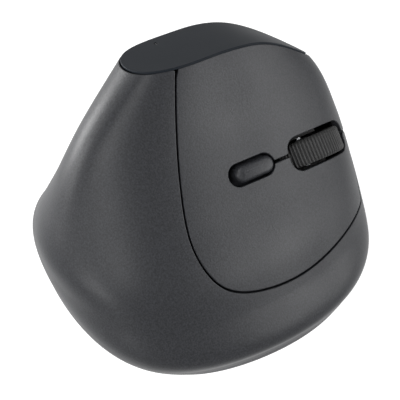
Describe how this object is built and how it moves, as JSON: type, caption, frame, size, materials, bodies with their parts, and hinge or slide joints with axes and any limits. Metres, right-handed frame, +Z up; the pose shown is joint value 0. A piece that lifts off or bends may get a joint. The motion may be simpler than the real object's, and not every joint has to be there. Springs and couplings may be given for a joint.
{
  "type": "vertical computer mouse",
  "caption": "Right-handed vertical mouse: a steep palm shell with a flared skirt, a narrow top cap, a one-piece plate of two flexing keys, an oval centre button and a ribbed scroll wheel.",
  "frame": {"origin": "on the table under the middle of the mouse: the centre of the bounding box in plan, at the bottom of the slide feet", "axes": "+X to the finger side, where the keys are, +Y forward, the way the fingers point, and +Z up"},
  "size_m": [0.0816, 0.0992, 0.0737],
  "materials": {
    "shell_abs": "fine textured moulded ABS",
    "cap_abs": "smooth satin moulded ABS",
    "key_abs": "fine textured moulded ABS",
    "thumb_abs": "fine textured moulded ABS",
    "button_abs": "satin moulded ABS",
    "base_abs": "fine spark-textured ABS",
    "inner_abs": "plain moulded ABS",
    "inner_pom": "smooth moulded acetal",
    "tyre_rubber": "ribbed moulded rubber",
    "steel": "ground",
    "screw_steel": "dark zinc plated",
    "nickel": "nickel plated spring steel",
    "switch_plastic": "moulded",
    "clear_plastic": "clear moulded acrylic",
    "light_chip": "light chip",
    "board": "glass epoxy board with solder mask",
    "cell_jacket": "plain printed film over steel",
    "receiver_shell": "moulded grip with plated plug",
    "slide_ptfe": "low-friction slide film"
  },
  "bodies": {
    "housing": {"palm_shell": "shell_abs", "top_cap": "cap_abs", "key_root": "key_abs", "thumb_panel": "thumb_abs", "base_plate": "base_abs", "foot_front_left": "slide_ptfe", "foot_front_right": "slide_ptfe", "foot_rear_left": "slide_ptfe", "foot_rear_right": "slide_ptfe", "chassis": "inner_abs", "key_board": "board", "left_switch": "switch_plastic", "right_switch": "switch_plastic", "click_switch": "switch_plastic", "dpi_switch": "switch_plastic", "thumb_board": "board", "forward_switch": "switch_plastic", "back_switch": "switch_plastic", "main_board": "board", "sensor": "switch_plastic", "sensor_lens": "clear_plastic", "power_switch": "switch_plastic", "light_pipe": "clear_plastic", "status_light": "light_chip", "battery": "cell_jacket", "spring_contact": "nickel", "plate_contact": "nickel", "base_screw_1": "screw_steel", "base_screw_2": "screw_steel", "base_screw_3": "screw_steel", "base_screw_4": "screw_steel", "root_screw_1": "screw_steel", "root_screw_2": "screw_steel"},
    "left_key": {"left_key": "key_abs"},
    "right_key": {"right_key": "key_abs"},
    "centre_button": {"dpi_button": "button_abs"},
    "wheel_carrier": {"wheel_carrier": "inner_pom", "wheel_encoder": "switch_plastic"},
    "wheel": {"wheel_tyre": "tyre_rubber", "wheel_hub": "inner_pom", "wheel_axle": "steel"},
    "forward_button": {"forward_button": "button_abs"},
    "back_button": {"back_button": "button_abs"},
    "power_knob": {"power_knob": "button_abs"},
    "battery_door": {"battery_door": "base_abs"},
    "receiver": {"receiver": "receiver_shell"}
  },
  "joints": [
    {"name": "left_key_press", "type": "hinge", "parent": "housing", "child": "left_key", "pos_m": [-0.00017, 0.0035, 0.05554], "axis": [-0.7314, 0, 0.682], "range_deg": [0, 0.8], "stiffness_Nm_per_rad": 1.2, "springref_deg": -0.23},
    {"name": "right_key_press", "type": "hinge", "parent": "housing", "child": "right_key", "pos_m": [0.01958, 0.0035, 0.03712], "axis": [-0.7314, 0, 0.682], "range_deg": [0, 0.8], "stiffness_Nm_per_rad": 1.2, "springref_deg": -0.23},
    {"name": "centre_button_press", "type": "slide", "parent": "housing", "child": "centre_button", "axis": [-0.682, 0, -0.7314], "range_m": [0, 0.0004], "stiffness_N_per_m": 1200, "springref_m": -0.0002},
    {"name": "wheel_click", "type": "slide", "parent": "housing", "child": "wheel_carrier", "axis": [-0.682, 0, -0.7314], "range_m": [0, 0.0005], "stiffness_N_per_m": 1500, "springref_m": -0.0003},
    {"name": "wheel_spin", "type": "hinge", "parent": "wheel_carrier", "child": "wheel", "pos_m": [0.00318, 0.0272, 0.03846], "axis": [-0.7314, 0, 0.682], "continuous": true},
    {"name": "forward_button_press", "type": "slide", "parent": "housing", "child": "forward_button", "axis": [1, 0, 0], "range_m": [0, 0.0005], "stiffness_N_per_m": 1200, "springref_m": -0.0002},
    {"name": "back_button_press", "type": "slide", "parent": "housing", "child": "back_button", "axis": [1, 0, 0], "range_m": [0, 0.0005], "stiffness_N_per_m": 1200, "springref_m": -0.0002},
    {"name": "power_slide", "type": "slide", "parent": "housing", "child": "power_knob", "axis": [0, 1, 0], "range_m": [0, 0.0024]},
    {"name": "battery_door_open", "type": "hinge", "parent": "housing", "child": "battery_door", "pos_m": [0.017, 0.02715, 0.0013], "axis": [1, 0, 0], "range_deg": [0, 75]},
    {"name": "receiver_pull", "type": "slide", "parent": "housing", "child": "receiver", "axis": [0, 0, -1], "range_m": [0, 0.019]}
  ]
}
